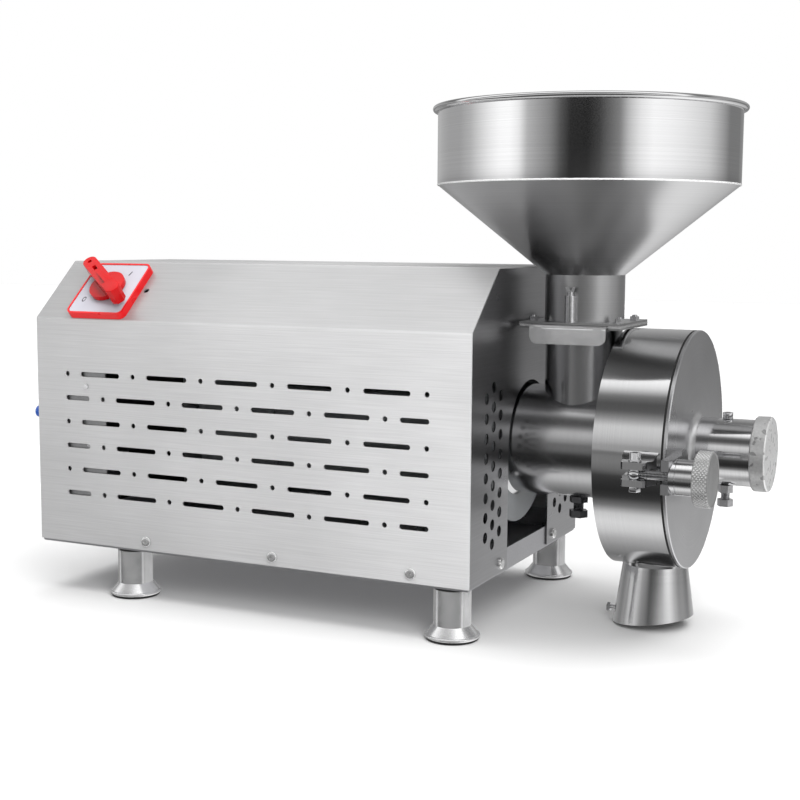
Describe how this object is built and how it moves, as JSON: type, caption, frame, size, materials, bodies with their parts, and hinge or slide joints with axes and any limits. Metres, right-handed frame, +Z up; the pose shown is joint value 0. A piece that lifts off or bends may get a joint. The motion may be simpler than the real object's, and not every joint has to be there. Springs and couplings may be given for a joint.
{
  "type": "electric grain mill",
  "caption": "Stainless bench mill: a hopper and gate feed a screw and burrs in a round drum with a clamped swinging cover, driven by a motor in a slotted casing.",
  "frame": {"origin": "on the surface the feet stand on, below the middle of the whole object", "axes": "+X along the shaft from the motor to the grinding cover, +Y to the back, away from the switch and the clamp, +Z up"},
  "size_m": [0.7524, 0.3306, 0.4981],
  "materials": {
    "brushed_cover": "brushed stainless sheet of the casing cover, folded, with a fine matt grain",
    "pressed_sheet": "mill-finish stainless sheet of the base pan and the inner bracket",
    "panel_sheet": "perforated stainless sheet of the end panels",
    "polished_steel": "polished stainless steel of the feet, the hopper, the spout and the small hardware",
    "turned_steel": "turned and polished stainless steel with a fine ring grain",
    "knurled_aluminium": "matt aluminium with a diamond knurl on the rim",
    "machine_steel": "plain machined steel",
    "burr_iron": "hard cast iron of the burrs",
    "motor_paint": "grey paint on the cast motor parts",
    "core_laminations": "laminated core with varnished copper windings",
    "black_plastic": "black moulded plastic of the fan, the switch body and the cans",
    "black_rubber": "black rubber of the pads, the ring and the shaft seal",
    "red_plastic": "red moulded plastic of the switch plate and its handle",
    "grey_plastic": "pale grey moulded plastic of the switch face",
    "blue_plastic": "blue moulded plastic of the cable gland"
  },
  "bodies": {
    "mill": {"base_pan": "pressed_sheet", "casing_cover": "brushed_cover", "drive_end_panel": "panel_sheet", "rear_end_panel": "panel_sheet", "cover_screws": "polished_steel", "foot_front_drive": "polished_steel", "foot_back_drive": "polished_steel", "foot_front_rear": "polished_steel", "foot_back_rear": "polished_steel", "foot_pads": "black_rubber", "foot_studs": "machine_steel", "cable_gland": "blue_plastic", "capacitor_bracket": "pressed_sheet", "bracket_screws": "polished_steel", "capacitors": "black_plastic", "switch_body": "black_plastic", "switch_bezel": "red_plastic", "switch_face": "grey_plastic", "switch_screws": "polished_steel", "motor_shell": "motor_paint", "stator_core": "core_laminations", "front_bell": "motor_paint", "rear_bell": "motor_paint", "fan_cowl": "motor_paint", "motor_bearings": "machine_steel", "motor_cradle": "motor_paint", "motor_bolts": "machine_steel", "feed_barrel": "turned_steel", "shaft_seal": "black_rubber", "barrel_lock_bolt": "machine_steel", "grinding_drum": "turned_steel", "drum_gasket": "black_rubber", "hinge_pin": "polished_steel", "clamp_pin": "polished_steel", "feed_hopper": "polished_steel", "gate_guides": "turned_steel", "flange_bolts": "polished_steel", "gate_lock_sleeve": "polished_steel", "discharge_spout": "polished_steel", "spout_bolt": "polished_steel"},
    "rotor": {"main_shaft": "machine_steel", "rotor_core": "core_laminations", "cooling_fan": "black_plastic", "feed_auger": "machine_steel", "rotating_burr": "burr_iron", "burr_nut": "machine_steel"},
    "cover": {"drum_cover": "turned_steel", "cover_nose": "turned_steel", "guide_screw": "polished_steel"},
    "adjuster": {"adjust_cap": "polished_steel", "adjust_screw": "machine_steel"},
    "quill_body": {"quill": "machine_steel", "fixed_burr": "burr_iron"},
    "quill_lock": {"quill_lock_bolt": "polished_steel"},
    "clamp_bolt": {"clamp_eye_bolt": "polished_steel"},
    "washer": {"clamp_washer": "polished_steel"},
    "knob": {"clamp_knob": "knurled_aluminium"},
    "gate": {"gate_plate": "turned_steel"},
    "gate_lock": {"gate_lock_screw": "polished_steel"},
    "handle": {"switch_handle": "red_plastic"}
  },
  "joints": [
    {"name": "shaft_spin", "type": "hinge", "parent": "mill", "child": "rotor", "pos_m": [0.1378, 0, 0.174], "axis": [1, 0, 0], "continuous": true},
    {"name": "cover_swing", "type": "hinge", "parent": "mill", "child": "cover", "pos_m": [0.3021, 0.1284, 0.174], "axis": [0, 0, 1], "range_deg": [0, 110]},
    {"name": "adjust_turn", "type": "hinge", "parent": "cover", "child": "adjuster", "pos_m": [0.3378, 0, 0.174], "axis": [1, 0, 0], "range_deg": [0, 720]},
    {"name": "quill_slide", "type": "slide", "parent": "cover", "child": "quill_body", "axis": [1, 0, 0], "range_m": [0, 0.004]},
    {"name": "quill_lock_turn", "type": "hinge", "parent": "cover", "child": "quill_lock", "pos_m": [0.3351, 0, 0.133], "axis": [0, 0, 1], "range_deg": [0, 360]},
    {"name": "clamp_bolt_swing", "type": "hinge", "parent": "mill", "child": "clamp_bolt", "pos_m": [0.2834, -0.132, 0.1687], "axis": [0, 0, -1], "range_deg": [0, 110]},
    {"name": "clamp_washer_slide", "type": "slide", "parent": "clamp_bolt", "child": "washer", "axis": [1, 0, 0], "range_m": [0, 0.0075]},
    {"name": "clamp_knob_turn", "type": "hinge", "parent": "washer", "child": "knob", "pos_m": [0.3278, -0.132, 0.1687], "axis": [1, 0, 0], "range_deg": [0, 2160]},
    {"name": "gate_slide", "type": "slide", "parent": "mill", "child": "gate", "axis": [0, -1, 0], "range_m": [0, 0.07]},
    {"name": "gate_lock_turn", "type": "hinge", "parent": "mill", "child": "gate_lock", "pos_m": [0.1924, -0.0441, 0.3], "axis": [0, 0, 1], "range_deg": [0, 360]},
    {"name": "switch_turn", "type": "hinge", "parent": "mill", "child": "handle", "pos_m": [-0.2793, -0.12587, 0.31299], "axis": [0, -0.6664, 0.7456], "range_deg": [-90, 90]}
  ],
  "couplings": [
    {"joint": "quill_slide", "follows": "adjust_turn", "m_per_rad": 0.00031831},
    {"joint": "clamp_washer_slide", "follows": "clamp_knob_turn", "m_per_rad": 0.00019894}
  ]
}
